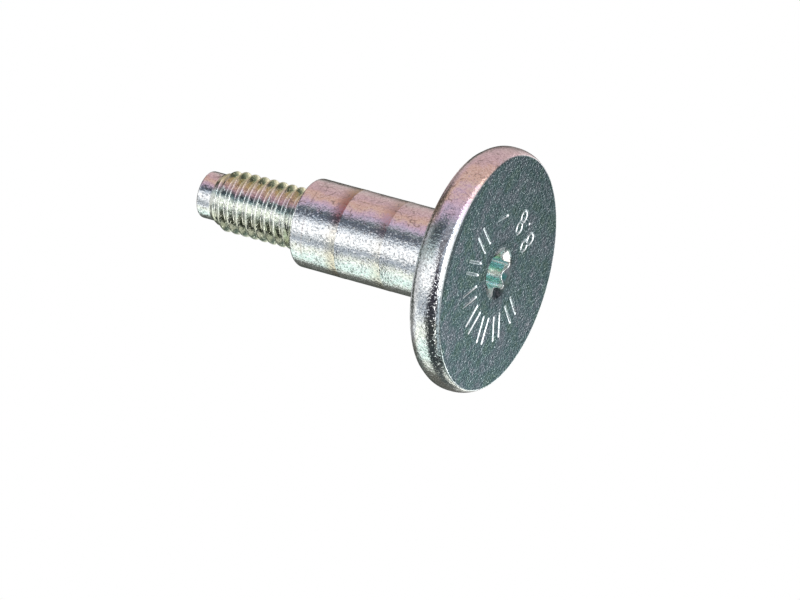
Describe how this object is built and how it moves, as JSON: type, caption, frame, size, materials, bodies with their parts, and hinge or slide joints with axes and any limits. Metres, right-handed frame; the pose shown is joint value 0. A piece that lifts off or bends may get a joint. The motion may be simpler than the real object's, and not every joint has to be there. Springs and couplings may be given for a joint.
{
  "type": "locating bolt",
  "caption": "Zinc plated steel locating bolt with a wide flat disc head, six-lobe socket, long plain shoulder, short machine thread and pilot point.",
  "frame": {"origin": "centre of the head's flat face", "axes": "+Z along the bolt's axis, from the face of the head to the pilot point; the bolt stands on its head; +X points to a lobe of the socket, within 1 degree"},
  "size_m": [0.0232, 0.0232, 0.0312],
  "materials": {
    "zinc_steel": "satin"
  },
  "bodies": {
    "root": {"locating_bolt": "zinc_steel"}
  },
  "joints": []
}
